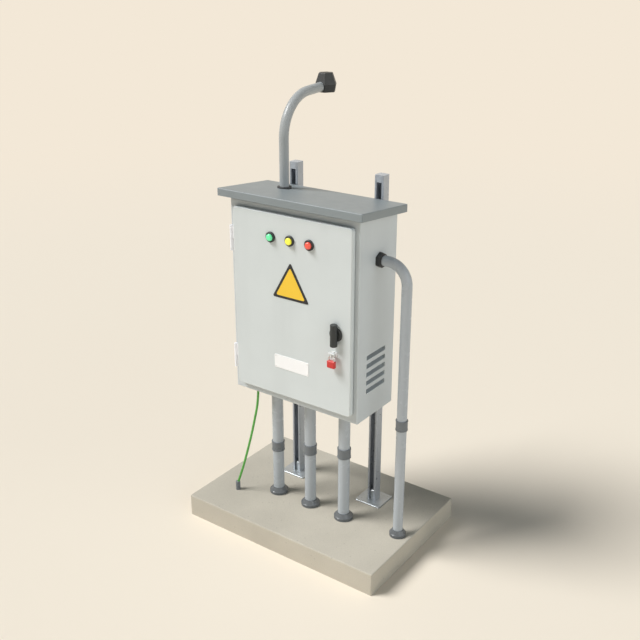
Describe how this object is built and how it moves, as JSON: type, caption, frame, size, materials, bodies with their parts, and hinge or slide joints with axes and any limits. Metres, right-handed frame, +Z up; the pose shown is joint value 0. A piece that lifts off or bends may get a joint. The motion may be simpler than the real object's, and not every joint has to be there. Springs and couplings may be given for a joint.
{
  "type": "electrical box",
  "caption": "Free-standing outdoor steel cabinet with a rain canopy on strut posts and a concrete plinth, with floor and side conduits, a service mast, lamps, a turning handle and a padlock.",
  "frame": {"origin": "centre of the plinth's underside", "axes": "+Z up, -Y out of the door, +X to the right of someone who faces the door"},
  "size_m": [0.94, 0.646, 1.8524],
  "materials": {
    "concrete": "fine cast concrete",
    "galvanised_strut": "dull galvanised",
    "strut_cap": "moulded",
    "galvanised_plate": "dull galvanised",
    "zinc_hardware": "zinc plated",
    "cabinet_paint": "semi-gloss light grey",
    "canopy_paint": "semi-gloss grey",
    "door_paint": "semi-gloss light grey",
    "hinge_metal": "semi-gloss grey",
    "gasket_rubber": "matt",
    "switch_grey": "moulded",
    "terminal_grey": "moulded",
    "earth_brass": "drawn",
    "conduit_grey": "semi-gloss grey",
    "fitting_grey": "semi-gloss dark grey",
    "mast_steel": "semi-gloss grey",
    "dark_rubber": "matt",
    "black_plastic": "moulded",
    "handle_black": "moulded",
    "green_cord": "smooth sheath",
    "rod_metal": "weathered",
    "lens_green": "clear tinted",
    "lens_yellow": "clear tinted",
    "lens_red": "clear tinted",
    "plate_dark": "painted",
    "plate_yellow": "painted",
    "plate_white": "painted",
    "staple_steel": "plated",
    "shackle_steel": "polished",
    "padlock_red": "gloss",
    "shaft_steel": "drawn"
  },
  "bodies": {
    "cabinet": {"plinth": "concrete", "post_left": "galvanised_strut", "post_right": "galvanised_strut", "cross_rails": "galvanised_strut", "post_caps": "strut_cap", "base_plates": "galvanised_plate", "mounting_panel": "galvanised_plate", "din_rails": "galvanised_plate", "frame_bolts": "zinc_hardware", "channel_nuts": "zinc_hardware", "standoffs": "zinc_hardware", "enclosure_body": "cabinet_paint", "canopy_brackets": "cabinet_paint", "rain_canopy": "canopy_paint", "hinge_body_leaves": "hinge_metal", "hinge_pins": "hinge_metal", "isolator": "switch_grey", "breaker": "switch_grey", "control_relay": "switch_grey", "terminal_row": "terminal_grey", "earth_bar": "earth_brass", "conduit_lower": "conduit_grey", "conduit_upper": "conduit_grey", "side_conduit_lower": "conduit_grey", "side_conduit_upper": "conduit_grey", "conduit_couplings": "fitting_grey", "conduit_collars": "fitting_grey", "conduit_hubs": "fitting_grey", "locknuts": "fitting_grey", "mast_flange": "fitting_grey", "earth_clamp": "fitting_grey", "service_mast": "mast_steel", "mast_grommet": "dark_rubber", "weatherhead_insert": "dark_rubber", "side_gland": "black_plastic", "weatherhead": "black_plastic", "earth_gland": "black_plastic", "earth_wire": "green_cord", "earth_rod": "rod_metal"},
    "door": {"door_panel": "door_paint", "door_gasket": "gasket_rubber", "hinge_door_leaves": "hinge_metal", "lamp_lens_green": "lens_green", "lamp_lens_yellow": "lens_yellow", "lamp_lens_red": "lens_red", "lamp_bezels": "black_plastic", "lamp_ring_nuts": "black_plastic", "handle_escutcheon": "black_plastic", "lamp_rear_blocks": "switch_grey", "triangle_border": "plate_dark", "triangle_field": "plate_yellow", "nameplate": "plate_white", "padlock_staple": "staple_steel"},
    "handle": {"handle_grip": "handle_black"},
    "padlock": {"padlock_shackle": "shackle_steel"},
    "padlock_case": {"padlock_body": "padlock_red"},
    "isolator_shaft": {"isolator_shaft": "shaft_steel"},
    "breaker_toggle": {"breaker_toggle": "black_plastic"}
  },
  "joints": [
    {"name": "door_swing", "type": "hinge", "parent": "cabinet", "child": "door", "pos_m": [-0.298, -0.18, 1.018], "axis": [0, 0, -1], "range_deg": [0, 120]},
    {"name": "handle_turn", "type": "hinge", "parent": "door", "child": "handle", "pos_m": [0.207, -0.207, 0.981], "axis": [0, 1, 0], "range_deg": [0, 90]},
    {"name": "padlock_swing", "type": "hinge", "parent": "door", "child": "padlock", "pos_m": [0.2, -0.211, 0.8988], "axis": [-1, 0, 0], "range_deg": [-10, 70]},
    {"name": "padlock_release", "type": "slide", "parent": "padlock", "child": "padlock_case", "axis": [0, 0, -1], "range_m": [0, 0.008]},
    {"name": "isolator_shaft_turn", "type": "hinge", "parent": "cabinet", "child": "isolator_shaft", "pos_m": [0.207, -0.05, 0.981], "axis": [0, 1, 0], "range_deg": [0, 90]},
    {"name": "breaker_toggle_turn", "type": "hinge", "parent": "cabinet", "child": "breaker_toggle", "pos_m": [-0.177, -0.013, 1.178], "axis": [1, 0, 0], "range_deg": [0, 60]}
  ],
  "couplings": [
    {"joint": "isolator_shaft_turn", "follows": "handle_turn", "ratio": 1}
  ]
}
